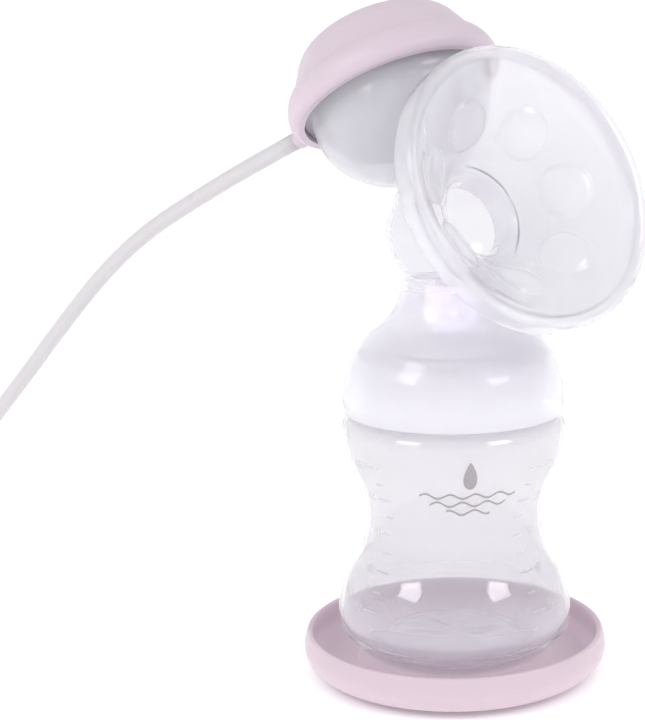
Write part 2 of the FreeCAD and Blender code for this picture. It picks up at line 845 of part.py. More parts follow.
def massage_cushion():
    """The soft liner: a tube in the funnel's bore, a cone, a rolled bead and a hem around the mouth."""
    gap = d.cushion_gap
    mouth = d.funnel_mouth_radius
    front = d.funnel_mouth + gap
    bead = 1.9
    return on_funnel_axis(turned("massage_cushion", [
        (d.cushion_bore, d.cushion_back),
        (d.funnel_bore - gap, d.cushion_back),
        (d.funnel_bore - gap, d.funnel_throat + 0.9),
        (d.funnel_cone_radius - 1.4, d.funnel_cone_start + 1.4, -11.0),
        (mouth - 4.6, d.funnel_mouth - 3.4),
        (mouth - d.funnel_wall - gap, d.funnel_mouth - 0.4, 6.0),
        (mouth - d.funnel_wall - gap, front),
        (mouth + gap, front),
        (mouth + gap, d.cushion_hem),
        (d.cushion_radius, d.cushion_hem),
        (d.cushion_radius, d.cushion_front - bead),
        (d.cushion_radius - bead, d.cushion_front, bead),
        (d.cushion_radius - 4.7, d.cushion_front - 1.5, 4.0),
        (d.cushion_radius - 7.3, d.cushion_front - 4.3),
        (d.cushion_bore + 4.0, d.funnel_cone_start + 2.6),
        (d.cushion_bore, d.funnel_throat + 1.3, 9.0),
    ]))


# ---- hose, coil, tie and connector ----------------------------------------------------------------


def rounded_path(route):
    """Straight runs joined by tangent arcs: (wire, list of arc radii)."""
    points = [FreeCAD.Vector(*point) for point in route]
    edges, radii = [], []
    reached = points[0]
    for before, corner, after in zip(points, points[1:], points[2:]):
        arriving = (corner - before).normalize()
        leaving = (after - corner).normalize()
        half_turn = arriving.getAngle(leaving) / 2
        setback = 0.45 * min((corner - before).Length, (after - corner).Length)
        radii.append(setback / math.tan(half_turn))
        start = corner - arriving * setback
        end = corner + leaving * setback
        inward = (leaving - arriving).normalize()
        middle = corner + inward * (radii[-1] / math.cos(half_turn) - radii[-1])
        edges.append(Part.LineSegment(reached, start).toShape())
        edges.append(Part.Arc(start, middle, end).toShape())
        reached = end
    edges.append(Part.LineSegment(reached, points[-1]).toShape())
    return Part.Wire(edges), radii


def hose_tube(name, route):
    """A round tube along a route, as one solid."""
    path, radii = rounded_path(route)
    way = (FreeCAD.Vector(*route[1]) - FreeCAD.Vector(*route[0])).normalize()
    section = Part.Wire(Part.makeCircle(d.hose_radius.value, FreeCAD.Vector(*route[0]), way))
    tube = doc.addObject("Part::Feature", name)
    tube.Shape = path.makePipeShell([section], True, True)
    expected = math.pi * d.hose_radius.value ** 2 * path.Length
    print(
        "%s: length %.1f, radii %s, volume %.4f of section times length"
        % (name, path.Length, [round(radius) for radius in radii], tube.Shape.Volume / expected)
    )
    return tube


def coil_section(inset):
    """Half the coil's bundle of turns, two wide and two high, with rounded corners."""
    half = 2 * d.hose_radius + 0.2 - inset
    bend = 2.2 - inset
    low = d.coil_lift + inset
    high = d.coil_lift + 4 * d.hose_radius + 0.3 - inset
    inner = d.coil_turn_radius - half
    outer = d.coil_turn_radius + half
    return [
        (inner + bend, low, bend),
        (outer - bend, low),
        (outer, low + bend, bend),
        (outer, high - bend),
        (outer - bend, high, bend),
        (inner + bend, high),
        (inner, high - bend, bend),
        (inner, low + bend),
    ]


def at_coil(thing):
    return place(thing, d.coil_centre_x, d.coil_centre_y, 0)


def hose_coil():
    """The put-away length of the hose, wound in a flat ring that lies on the table."""
    return at_coil(turned("hose_coil", coil_section(0)))


def coil_tie():
    """A band round the bundle of turns, on the side away from the pump."""
    body = doc.addObject("PartDesign::Body", "coil_tie")
    pad_sketch = outline_sketch(body, "coil_tie_outer", coil_section(-d.tie_clearance - d.tie_band))
    pad = body.newObject("PartDesign::Pad", "coil_tie_pad")
    pad.Profile = pad_sketch
    pad.setExpression("Length", d.tie_width.text)
    pad.Midplane = True
    doc.recompute()
    hole_sketch = outline_sketch(body, "coil_tie_inner", coil_section(-d.tie_clearance))
    hole = body.newObject("PartDesign::Pocket", "coil_tie_hole")
    hole.Profile = hole_sketch
    hole.Type = 1
    hole.Midplane = True
    body.Tip = hole
    return at_coil(body)


def connector():
    """The push-in connector on the hose's far end: a socket, a grip with a collar, and a spigot."""
    socket = d.connector_radius - 1.2
    grip = d.connector_radius
    body = turned("hose_end_connector", [
        (0, 0),
        (socket - 0.4, 0),
        (socket, 0.4, 0.4),
        (socket, 5.5),
        (grip - 0.6, 6.5),
        (grip - 0.6, 12.5),
        (grip, 13.0),
        (grip, 14.5),
        (d.hose_radius, 15.0),
        (d.hose_radius, d.connector_length - 0.8),
        (d.hose_radius - 0.8, d.connector_length),
        (0, d.connector_length),
    ])
    tip, before = FreeCAD.Vector(*TAIL_ROUTE[-1]), FreeCAD.Vector(*TAIL_ROUTE[-2])
    way = (tip - before).normalize()
    body.Placement = FreeCAD.Placement(tip, FreeCAD.Rotation(FreeCAD.Vector(0, 0, 1), way))
    return body


# ---- the whole pump -----------------------------------------------------------------------------

node(stand_dish())
for piece in bottle() + pump_body():
    node(piece)
node(valve_sleeve())
node(valve_lip("valve_lip_front", 1))
node(valve_lip("valve_lip_back", -1))
node(diaphragm_rim())
node(diaphragm_cup())
node(cap_shell())
node(cap_inner_ring())
node(hose_nozzle())
node(massage_cushion())
coil = node(hose_coil())
node(coil_tie())
hose_run = hose_tube("hose_run", HOSE_ROUTE)
hose_start = within_reach("hose_start", d.nozzle_reach + d.nozzle_gap)
node(cut("hose", cut("hose_from_nozzle", hose_run, hose_start), coil))
node(cut("hose_tail", hose_tube("hose_tail_run", TAIL_ROUTE), coil))
node(connector())

doc.recompute()
for thing in doc.Objects:
    assert not {"Invalid", "Error"} & set(thing.State), (thing.Label, thing.State)
for sub_part in nodes:
    shape = sub_part.Shape
    assert not shape.isNull() and shape.isValid() and len(shape.Solids) == 1, sub_part.Label

os.makedirs("parts", exist_ok=True)
for sub_part in nodes:
    sub_part.Shape.exportStep("parts/%s.step" % sub_part.Label)
    box = sub_part.Shape.optimalBoundingBox()
    print("%-20s volume %9.1f  z %7.2f to %7.2f" % (sub_part.Label, sub_part.Shape.Volume, box.ZMin, box.ZMax))
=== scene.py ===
# Electric breast pump in its dish: clear plastic over a pale pink stand, in a white studio.
import bmesh
import bpy
import math
import numpy as np
from mathutils import Matrix, Vector


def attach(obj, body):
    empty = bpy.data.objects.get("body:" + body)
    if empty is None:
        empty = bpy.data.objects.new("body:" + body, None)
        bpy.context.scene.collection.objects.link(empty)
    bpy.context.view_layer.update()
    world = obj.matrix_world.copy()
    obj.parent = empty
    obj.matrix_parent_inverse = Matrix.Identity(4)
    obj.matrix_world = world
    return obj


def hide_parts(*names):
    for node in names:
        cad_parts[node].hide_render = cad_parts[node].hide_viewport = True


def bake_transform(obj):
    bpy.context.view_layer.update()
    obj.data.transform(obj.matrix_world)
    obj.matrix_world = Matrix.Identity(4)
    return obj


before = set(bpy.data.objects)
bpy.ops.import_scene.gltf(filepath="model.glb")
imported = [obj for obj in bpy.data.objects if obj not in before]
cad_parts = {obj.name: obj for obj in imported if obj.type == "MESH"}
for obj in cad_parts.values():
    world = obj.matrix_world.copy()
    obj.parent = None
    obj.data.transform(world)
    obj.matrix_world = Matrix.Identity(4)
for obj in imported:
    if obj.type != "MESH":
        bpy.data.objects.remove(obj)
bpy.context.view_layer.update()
MM = 0.001
TURN = 2 * math.pi

# Sizes of the object, in millimetres, as its CAD model has them.
BALL_CENTRE = Vector((0, 0, 125.3))
CAP_CENTRE = Vector((-23.5, 0, 159.5))
CAP_LEAN = math.radians(32)
FUNNEL_LEAN = math.radians(65)
HOSE_DIAMETER = 5.0
DOME_TOP = 112.8
BOWL_FOOT = -23.0
FUNNEL_FOOT = 10.0
UP = Matrix.Identity(4)
CAP_FRAME = Matrix.Translation(CAP_CENTRE) @ Matrix.Rotation(-CAP_LEAN, 4, "Y")
FUNNEL_FRAME = Matrix.Translation(BALL_CENTRE) @ Matrix.Rotation(FUNNEL_LEAN, 4, "Y")

HOSE_ROUTE = [
    (-58.9, -9.8, 147.3),
    (-78.1, -15.5, 138.0),
    (-98.4, -20.7, 127.6),
    (-117.4, -26.2, 117.2),
    (-134.6, -31.3, 104.6),
    (-152.3, -36.9, 87.5),
    (-184.5, -47.0, 52.8),
    (-208.5, -54.1, 29.0),
    (-230.6, -60.6, 12.6),
    (-249.7, -66.3, 4.4),
    (-267.0, -71.4, 2.5),
]
TAIL_ROUTE = [
    (-318.3, -39.0, 7.2),
    (-318.2, -32.0, 5.2),
    (-318.1, -26.0, 4.6),
    (-317.9, -20.5, 4.6),
]
HOSE_FLOOR_END = (-279.5, -75.1)
COIL_CENTRE = (-288.1, -46.1)
COIL_LANES = ((30.2, 3.1), (25.0, 3.1), (25.0, 8.3), (30.2, 8.3))

# The bottle's side: (radius, height) of its widest ring, its waist and its shoulder.
WIDEST = (33.1, 16.5)
WAIST = (24.7, 45.0)
SHOULDER = (31.2, 71.0)
BOTTLE_WALL = 1.3
BOTTLE_NECK = 22.6
THREAD_FOOT = 77.2
THREAD_TOP = 90.8
THREAD_PITCH = 4.5
THREAD_DEPTH = 1.3
BASE_PETALS = 6
BASE_PETAL_DEPTH = 0.5

# The cushion's cone, as (radius, height along the funnel), and the petals on it.
CONE_FOOT = (14.3, 16.6)
CONE_EDGE = (31.6, 33.0)
PETALS = 7
PETAL_ANGLE = math.radians(196)
PETAL_RADIUS = 22.3
PETAL_SIZE = 7.4
PETAL_LIFT = 2.3
FOOT_RING_LIFT = 0.45

BODY_NODES = ["pump_dome", "pump_ball", "pump_bowl", "pump_funnel"]
PRINT_BEARING = math.radians(-31)
DROP_FOOT = 60.0
DROP_HEIGHT = 8.0
DROP_WIDTH = 6.0
SCALE_BEARINGS = ((math.radians(2), 1), (math.radians(-81), -1))
FIRST_MARK = 24.0
MARK_STEP = 5.0
MARKS = 9
MARK_LENGTHS = (5.0, 3.0)
NUMBER_SIZE = 3.0
NUMBER_HEIGHT = 2.2
NUMBER_OFFSET = 6.2
FIRST_NUMBER = 30
NUMBER_STEP = 30

# The studio, in metres and degrees; the floor's half width is in millimetres, like a piece's points.
CAMERA_PLACE = (0.3711, -0.3044, 0.1886)
CAMERA_LOOK = (-0.7543, 0.6245, -0.2027)
CAMERA_AZIMUTH = 50.6
LAMP_TURN = 55
LAMP_RISE = 38
LAMP_DISTANCE = 0.9
LAMP_SIZE = (0.34, 0.38)
LAMP_WATTS = 1.7
FLOOR_REACH = 1500


# ---- camera -------------------------------------------------------------------------------------


def camera():
    data = bpy.data.cameras.new("camera")
    data.lens = 88.2
    data.shift_x = -0.1925
    eye = bpy.data.objects.new("camera", data)
    bpy.context.collection.objects.link(eye)
    look = Vector(CAMERA_LOOK).normalized()
    roll = Matrix.Rotation(math.radians(-0.27), 4, "Z")
    turn = look.to_track_quat("-Z", "Y").to_matrix().to_4x4()
    eye.matrix_world = Matrix.Translation(CAMERA_PLACE) @ turn @ roll
    bpy.context.scene.camera = eye


# ---- mesh helpers -------------------------------------------------------------------------------


def face_outwards(mesh):
    work = bmesh.new()
    work.from_mesh(mesh)
    bmesh.ops.remove_doubles(work, verts=work.verts, dist=1e-7)
    bmesh.ops.recalc_face_normals(work, faces=work.faces)
    work.to_mesh(mesh)
    work.free()


def new_piece(name, points, faces, material, body, replaced=(), smooth=True):
    """A mesh piece from points in millimetres, riding on a body of the frame."""
    mesh = bpy.data.meshes.new(name)
    mesh.from_pydata([tuple(c * MM for c in p) for p in points], [], faces)
    face_outwards(mesh)
    mesh.polygons.foreach_set("use_smooth", [smooth] * len(mesh.polygons))
    return finished(mesh, material, body, replaced)


def finished(mesh, material, body, replaced=()):
    """Puts a mesh into the scene as a piece named after it."""
    name = mesh.name
    mesh.materials.append(material)
    mesh.update()
    piece = bpy.data.objects.new(name, mesh)
    bpy.context.collection.objects.link(piece)
    if body:
        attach(piece, body)
    if replaced:
        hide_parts(*replaced)
    return piece


def arc(start, end, bend, steps):
    """Points after start along an arc to end; its centre is left of the way when bend is positive."""
    dx, dy = end[0] - start[0], end[1] - start[1]
    chord = math.hypot(dx, dy)
    rise = math.sqrt(max(bend * bend - chord * chord / 4, 0))
    side = 1 if bend > 0 else -1
    cx = (start[0] + end[0]) / 2 - side * dy / chord * rise
    cy = (start[1] + end[1]) / 2 + side * dx / chord * rise
    first = math.atan2(start[1] - cy, start[0] - cx)
    sweep = 2 * math.asin(min(1, chord / 2 / abs(bend))) * side
    angles = [first + sweep * k / steps for k in range(1, steps + 1)]
    return [(cx + abs(bend) * math.cos(angle), cy + abs(bend) * math.sin(angle)) for angle in angles]


def outline(points, spacing=0.8):
    """Samples an outline of (r, z) corners, or (r, z, bend) where an arc arrives, at an even spacing."""
    sampled = [points[0][:2]]
    for end in points[1:]:
        start = sampled[-1]
        steps = max(1, round(math.hypot(end[0] - start[0], end[1] - start[1]) / spacing))
        if len(end) == 3:
            sampled += arc(start, end[:2], end[2], max(4, steps))
        else:
            sampled += [
                (start[0] + (end[0] - start[0]) * k / steps, start[1] + (end[1] - start[1]) * k / steps)
                for k in range(1, steps + 1)
            ]
    return sampled


def turned(name, profile, where, material, body, replaced=(), around=160, closed=False, shift=None):
    """A surface of revolution. shift(r, z, angle) may return a moved (r, z) for moulded detail."""
    points, faces = [], []
    for r, z in profile:
        for k in range(around):
            angle = TURN * k / around
            pr, pz = shift(r, z, angle) if shift else (r, z)
            points.append(where @ Vector((pr * math.cos(angle), pr * math.sin(angle), pz)))
    rows = len(profile)
    for row in range(rows if closed else rows - 1):
        a, b = row * around, (row + 1) % rows * around
        for k in range(around):
            n = (k + 1) % around
            faces.append((a + k, a + n, b + n, b + k))
    return new_piece(name, points, faces, material, body, replaced)


# ---- materials ----------------------------------------------------------------------------------


def material(name, **values):
    """A Principled material whose colour, roughness and bump come from procedural noise."""
    made = bpy.data.materials.new(name)
    made.use_nodes = True
    nodes, links = made.node_tree.nodes, made.node_tree.links
    shader = nodes["Principled BSDF"]
    place = nodes.new("ShaderNodeTexCoord")
    noise = nodes.new("ShaderNodeTexNoise")
    noise.inputs["Scale"].default_value = values.pop("noise_scale", 60)
    noise.inputs["Detail"].default_value = 3
    links.new(place.outputs["Object"], noise.inputs["Vector"])

    colour = values.pop("colour")
    spread = values.pop("spread", 0.015)
    tint = nodes.new("ShaderNodeMix")
    tint.data_type = "RGBA"
    tint.inputs["A"].default_value = (*[c * (1 - spread) for c in colour], 1)
    tint.inputs["B"].default_value = (*[min(1, c * (1 + spread)) for c in colour], 1)
    links.new(noise.outputs["Fac"], tint.inputs["Factor"])
    links.new(tint.outputs["Result"], shader.inputs["Base Color"])

    rough = values.pop("rough")
    spread_rough = nodes.new("ShaderNodeMapRange")
    spread_rough.inputs["To Min"].default_value = rough * 0.8
    spread_rough.inputs["To Max"].default_value = rough * 1.2
    links.new(noise.outputs["Fac"], spread_rough.inputs["Value"])
    links.new(spread_rough.outputs["Result"], shader.inputs["Roughness"])

    bump = nodes.new("ShaderNodeBump")
    bump.inputs["Strength"].default_value = values.pop("bump", 0.05)
    bump.inputs["Distance"].default_value = values.pop("bump_depth", 0.0003)
    links.new(noise.outputs["Fac"], bump.inputs["Height"])
    links.new(bump.outputs["Normal"], shader.inputs["Normal"])
    for socket, value in values.items():
        shader.inputs[socket.replace("_", " ")].default_value = value
    return made


def ramp(made, source, low, high):
    """A smooth step from 0 at low to 1 at high of a number that varies over the surface."""
    step = made.node_tree.nodes.new("ShaderNodeMapRange")
    step.interpolation_type = "SMOOTHSTEP"
    step.inputs["From Min"].default_value = low
    step.inputs["From Max"].default_value = high
    made.node_tree.links.new(source, step.inputs["Value"])
    return step.outputs["Result"]


def along(made, direction):
    """How far a point lies along a direction, in metres from the object's origin."""
    nodes, links = made.node_tree.nodes, made.node_tree.links
    place = nodes.new("ShaderNodeTexCoord")
    measured = nodes.new("ShaderNodeVectorMath")
    measured.operation = "DOT_PRODUCT"
    measured.inputs[1].default_value = direction
    links.new(place.outputs["Object"], measured.inputs[0])
    return measured.outputs["Value"]


def from_axis(made):
    """How far a point lies from the object's Z axis, in metres."""
    nodes, links = made.node_tree.nodes, made.node_tree.links
    place = nodes.new("ShaderNodeTexCoord")
    flat = nodes.new("ShaderNodeVectorMath")
    flat.operation = "MULTIPLY"
    flat.inputs[1].default_value = (1, 1, 0)
    links.new(place.outputs["Object"], flat.inputs[0])
    size = nodes.new("ShaderNodeVectorMath")
    size.operation = "LENGTH"
    links.new(flat.outputs["Vector"], size.inputs[0])
    return size.outputs["Value"]


def combined(made, operation, a, b):
    both = made.node_tree.nodes.new("ShaderNodeMath")
    both.operation = operation
    made.node_tree.links.new(a, both.inputs[0])
    made.node_tree.links.new(b, both.inputs[1])
    return both.outputs["Value"]


def vary(made, socket, plain, *zones):
    """Gives a socket its plain value, changed by some amount in each (zone, amount)."""
    nodes, links = made.node_tree.nodes, made.node_tree.links
    total = nodes.new("ShaderNodeValue")
    total.outputs["Value"].default_value = plain
    reached = total.outputs["Value"]
    for zone, amount in zones:
        part = nodes.new("ShaderNodeMapRange")
        part.inputs["To Max"].default_value = amount
        links.new(zone, part.inputs["Value"])
        reached = combined(made, "ADD", reached, part.outputs["Result"])
    links.new(reached, nodes["Principled BSDF"].inputs[socket])


def cloud_and_glow_body(made):
    """The body's cloudier zones: the dome and skirt over the bottle's neck, and the bowl. The body also glows
    faintly with painted light, the dome and skirt more, to brighten them.
    """
    in_skirt = ramp(made, along(made, (0, 0, 1)), 0.113, 0.101)
    above_neck = ramp(made, along(made, (-math.sin(CAP_LEAN), 0, math.cos(CAP_LEAN))), 0.122, 0.128)
    in_bowl = combined(made, "MULTIPLY", above_neck, ramp(made, along(made, (1, 0, 0)), 0.004, 0.001))
    vary(made, "Transmission Weight", 0.9, (in_skirt, -0.32), (in_bowl, -0.2))
    # painted glow: faint over the body, stronger in the dome and skirt
    vary(made, "Emission Strength", 0.005, (in_skirt, 0.05))
    return made


def cloud_and_glow_bottle(made):
    """The bottle's foot is thicker and a little cloudier than its side, and glows faintly with painted light.
    """
    in_foot = ramp(made, along(made, (0, 0, 1)), 0.034, 0.018)
    vary(made, "Transmission Weight", 0.9, (in_foot, -0.05))
    # painted glow in the bottle's foot
    vary(made, "Emission Strength", 0.0, (in_foot, 0.022))
    return made


def paint_dish_glow(made):
    """Painted light: the whole dish glows faintly, and its hollow glows more than its side, lightening the
    shaded hollow.
    """
    hollow_glow_zone = ramp(made, from_axis(made), 0.0415, 0.0405)
    # painted glow: 0.12 over the whole dish, 0.055 more in the hollow
    vary(made, "Emission Strength", 0.12, (hollow_glow_zone, 0.055))
    return made


# The dish's emission colour is the tint of its painted glow.
DISH_PINK = paint_dish_glow(material("pink_plastic", colour=(0.56, 0.455, 0.515), rough=0.4, noise_scale=220,
                                  bump=0.05, IOR=1.4, Subsurface_Weight=0.3, Subsurface_Scale=0.004,
                                  Subsurface_Radius=(1, 1, 1), Emission_Color=(1, 0.86, 0.97, 1)))
CAP_PINK = material("lilac_pink_plastic", colour=(0.66, 0.56, 0.64), rough=0.38, noise_scale=220, bump=0.05,
                    IOR=1.4, Subsurface_Weight=0.2, Subsurface_Scale=0.003, Subsurface_Radius=(1, 1, 1))
# The body's emission colour is the tint of its painted glow.
BODY = cloud_and_glow_body(material("clear_body", colour=(0.925, 0.915, 0.95), rough=0.08, noise_scale=40, bump=0.04,
                           IOR=1.03, Coat_Weight=0.6, Coat_Roughness=0.05, Coat_IOR=1.6,
                           Subsurface_Weight=0.6, Subsurface_Scale=0.004, Subsurface_Radius=(1, 1, 1),
                           Emission_Color=(0.85, 0.8, 1, 1)))
# The bottle's emission colour is the tint of its foot's painted glow.
BOTTLE = cloud_and_glow_bottle(material("clear_bottle", colour=(0.885, 0.87, 0.90), rough=0.05, noise_scale=40,
                               bump=0.04, IOR=1.04, Coat_Weight=1.0, Coat_Roughness=0.03, Coat_IOR=1.6,
                               Subsurface_Weight=0.6, Subsurface_Scale=0.004, Subsurface_Radius=(1, 1, 1),
                               Emission_Color=(0.8, 0.78, 1, 1)))
# The cushion glows faintly with painted light (emission 0.012) that lightens the silicone.
CUSHION = material("clear_silicone", colour=(0.95, 0.94, 0.97), rough=0.1, noise_scale=50, bump=0.04,
                   IOR=1.06, Transmission_Weight=0.78, Coat_Weight=1.0, Coat_Roughness=0.05, Coat_IOR=1.6,
                   Subsurface_Weight=0.6, Subsurface_Scale=0.004, Subsurface_Radius=(1, 1, 1),
                   Emission_Color=(0.85, 0.8, 1, 1), Emission_Strength=0.012)
DIAPHRAGM = material("diaphragm_silicone", colour=(0.80, 0.77, 0.90), rough=0.35, noise_scale=80,
                     IOR=1.2, Transmission_Weight=0.25, Subsurface_Weight=0.6, Subsurface_Scale=0.004,
                     Subsurface_Radius=(1, 1, 1))
# The milky silicone of the valve glows with painted light (emission 0.34) that brightens the valve inside the
# dome.
MILKY = material("milky_silicone", colour=(0.92, 0.89, 0.97), rough=0.35, noise_scale=80,
                 IOR=1.2, Transmission_Weight=0.3, Subsurface_Weight=0.6, Subsurface_Scale=0.004,
                 Subsurface_Radius=(1, 1, 1), Emission_Color=(0.85, 0.8, 1, 1), Emission_Strength=0.34)
WHITE = material("white_plastic", colour=(0.78, 0.77, 0.78), rough=0.4, noise_scale=200, IOR=1.49)
HOSE = material("hose_silicone", colour=(0.66, 0.645, 0.67), rough=0.3, noise_scale=120,
                IOR=1.41, Subsurface_Weight=0.3, Subsurface_Scale=0.002)
MARKING = material("raised_marking", colour=(0.80, 0.79, 0.83), rough=0.15, noise_scale=120, IOR=1.3,
                   Transmission_Weight=0.6)
PRINT = material("grey_print", colour=(0.37, 0.35, 0.37), rough=0.5, noise_scale=300, spread=0.05)


# ---- hose ---------------------------------------------------------------------------------------


def coil_turns():
    """Control points of the coil, clockwise from above: outer and inner lane below, then above."""
    first = math.atan2(HOSE_FLOOR_END[1] - COIL_CENTRE[1], HOSE_FLOOR_END[0] - COIL_CENTRE[0])
    turns = 3 + (first - math.pi) % TURN / TURN
    steps = round(turns * 20)
    lane_length = turns / (len(COIL_LANES) - 1)
    points = []
    for k in range(steps + 1):
        done = turns * k / steps
        lane = min(int(done / lane_length), len(COIL_LANES) - 2)
        share = min(1, max(0, (done / lane_length - lane - 0.32) / 0.36))
        share = share * share * (3 - 2 * share)
        r, z = (a + (b - a) * share for a, b in zip(COIL_LANES[lane], COIL_LANES[lane + 1]))
        angle = first - TURN * done
        r *= 1.009
        points.append((COIL_CENTRE[0] + r * math.cos(angle), COIL_CENTRE[1] + r * math.sin(angle), z))
    return points


def hose_line():
    """The hose's centre line, from a NURBS spline through its route, coil and tail."""
    route = HOSE_ROUTE + coil_turns() + TAIL_ROUTE
    curve = bpy.data.curves.new("hose_path", "CURVE")
    curve.dimensions = "3D"
    curve.resolution_u = 6
    spline = curve.splines.new("NURBS")
    spline.points.add(len(route) - 1)
    for point, place in zip(spline.points, route):
        point.co = (*[c * MM for c in place], 1)
    spline.order_u = 3
    spline.use_endpoint_u = True
    guide = bpy.data.objects.new("hose_path", curve)
    bpy.context.collection.objects.link(guide)
    line = bpy.data.meshes.new_from_object(guide)
    path = [v.co / MM for v in line.vertices]
    bpy.data.objects.remove(guide)
    bpy.data.meshes.remove(line)
    return path


def tube(name, path, radius, material_used, around=24):
    """A round tube with flat ends along a path, its rings carried along without twist."""
    points, faces = [], []
    side = Vector((0, 0, 1))
    for k, here in enumerate(path):
        way = (path[min(k + 1, len(path) - 1)] - path[max(k - 1, 0)]).normalized()
        side = (side - way * side.dot(way)).normalized()
        other = way.cross(side)
        points += [
            here + radius * (math.cos(TURN * j / around) * side + math.sin(TURN * j / around) * other)
            for j in range(around)
        ]
    for k in range(len(path) - 1):
        a, b = k * around, (k + 1) * around
        for j in range(around):
            n = (j + 1) % around
            faces.append((a + j, a + n, b + n, b + j))
    faces.append(tuple(reversed(range(around))))
    faces.append(tuple(range((len(path) - 1) * around, len(path) * around)))
    return new_piece(name, points, faces, material_used, None)


def hose():
    path = hose_line()
    piece = tube("hose_tube", path, HOSE_DIAMETER / 2, HOSE)
    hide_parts("hose", "hose_coil", "hose_tail")
    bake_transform(piece)


camera()
hose()


# ---- the object's own pieces ---------------------------------------------------------------------


def swing(ring):
    """The radius of the two arcs of the S-curve from the waist to another ring of the bottle's side."""
    step, rise = ring[0] - WAIST[0], ring[1] - WAIST[1]
    return (rise ** 2 + step ** 2) / (4 * step)


def halfway(ring, inset):
    """The point where those two arcs meet."""
    return (ring[0] + WAIST[0]) / 2 - inset, (ring[1] + WAIST[1]) / 2


def inner(ring):
    return ring[0] - BOTTLE_WALL, ring[1]


def bottle():
    """The bottle with a helical thread and petals pressed into its pushed-up base."""
    low, high = swing(WIDEST), swing(SHOULDER)
    outside = outline([
        (0, 9.4), (17, 9.0), (20.5, 7.1, -12.0), (23.2, 7.1, 2.2), (29.85, 10.87), (*WIDEST, 6.5),
        (*halfway(WIDEST, 0), low), (*WAIST, -low), (*halfway(SHOULDER, 0), -high), (*SHOULDER, high),
        (27.8, 74.6, 3.6), (24.0, 75.1), (BOTTLE_NECK, 76.5, -1.4), (BOTTLE_NECK, 92.1), (22.2, 92.5, 0.4),
    ], 0.6)
    inside = outline([
        (22.2, 92.5), (21.6, 92.5), (21.2, 92.1, 0.4), (21.2, 76.5), (23.9, 73.8, 2.7), (27.3, 73.3),
        (*inner(SHOULDER), -2.6),
    ], 0.6)
    inside += outline([
        inner(SHOULDER), (*halfway(SHOULDER, BOTTLE_WALL), -high), (*inner(WAIST), high),
        (*halfway(WIDEST, BOTTLE_WALL), low), (*inner(WIDEST), -low),
        (29.1, 12.07, -5.2), (22.8, 8.4), (20.8, 8.4, -1.6), (17.3, 10.3, 12.0), (0, 10.7),
    ], 0.6)[1:]

    def moulded(r, z, angle):
        if r > BOTTLE_NECK - 0.2 and z > THREAD_FOOT:
            phase = ((z - THREAD_FOOT - 0.4) / THREAD_PITCH - angle / TURN) % 1
            fade = min(1, max(0, (z - THREAD_FOOT) / 1.5)) * min(1, max(0, (THREAD_TOP - z) / 1.5))
            ridge = max(0, 1 - abs(phase - 0.5) / 0.22)
            return r + THREAD_DEPTH * fade * min(1, ridge * 1.6), z
        if z < 11 and 3 < r < 16.5:
            petals = math.cos(BASE_PETALS * angle) * math.sin((r - 3) / 13.5 * math.pi)
            return r, z + BASE_PETAL_DEPTH * petals
        return r, z

    return turned("bottle_clear", outside + inside[1:], UP, BOTTLE, "bottle_body",
                  ["bottle_foot", "bottle_side", "bottle_neck"], 192, shift=moulded)


def cushion():
    """The silicone liner: seven round bumps on its cone, a rolled bead and a folded hem outside."""
    slope = Vector((CONE_EDGE[0] - CONE_FOOT[0], CONE_EDGE[1] - CONE_FOOT[1])).normalized()
    normal = Vector((-slope.y, slope.x))
    step = TURN / PETALS

    def moulded(r, z, angle):
        on_cone = 14 < z < 34 and r < CONE_FOOT[0] + (z - CONE_FOOT[1]) * slope.x / slope.y + 0.5
        if not on_cone or r < 11:
            return r, z
        off = (angle - PETAL_ANGLE + step / 2) % step - step / 2
        away = math.hypot((r - PETAL_RADIUS) / slope.x, r * off) / PETAL_SIZE
        petal = PETAL_LIFT * math.sqrt(max(0, 1 - away ** 2))
        foot_ring = FOOT_RING_LIFT * min(1, max(0, 19 - r)) * min(1, max(0, (r - 13) / 4))
        lift = max(petal, foot_ring)
        return r + normal.x * lift, z + normal.y * lift

    profile = outline([
        (10.3, 5.4), (10.7, 5.0, 0.4), (11.7, 5.0), (12.1, 5.4, 0.4), (12.1, 9.4), (15.6, 15.4, -11.0),
        (33.0, 31.9), (35.7, 34.9, 6.0), (35.7, 35.6), (37.9, 35.6), (37.9, 30.5), (38.2, 30.2, 0.3),
        (38.6, 30.2), (38.9, 30.5, 0.3), (38.9, 35.4), (37.0, 37.3, 1.9), (34.2, 35.8, 4.0), (31.6, 33.0),
        (14.3, 16.6), (10.3, 9.8, 9.0), (10.3, 5.4),
    ], 0.45)
    return turned("cushion_clear", profile[:-1], FUNNEL_FRAME, CUSHION, "cushion", ["massage_cushion"], 320,
                  closed=True, shift=moulded)


def body():
    """The pump body as one skin: its four solids joined, without the faces where they meet."""
    joined = bmesh.new()
    for name in BODY_NODES:
        joined.from_mesh(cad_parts[name].data)
    upwards = Vector((0, 0, 1))
    meetings = [
        (where @ (upwards * height), where.to_3x3() @ upwards)
        for where, height in ((UP, DOME_TOP), (CAP_FRAME, BOWL_FOOT), (FUNNEL_FRAME, FUNNEL_FOOT))
    ]

    def at_meeting(face):
        middle = face.calc_center_median() / MM
        return any(
            abs(face.normal.dot(axis)) > 0.999 and abs((middle - point).dot(axis)) < 0.02
            for point, axis in meetings
        )

    bmesh.ops.delete(joined, geom=[face for face in joined.faces if at_meeting(face)], context="FACES")
    bmesh.ops.remove_doubles(joined, verts=joined.verts, dist=0.03 * MM)
    mesh = bpy.data.meshes.new("body_clear")
    joined.to_mesh(mesh)
    joined.free()
    mesh.polygons.foreach_set("use_smooth", [True] * len(mesh.polygons))
    mesh.set_sharp_from_angle(angle=math.radians(32))
    return finished(mesh, BODY, "pump_head", BODY_NODES)


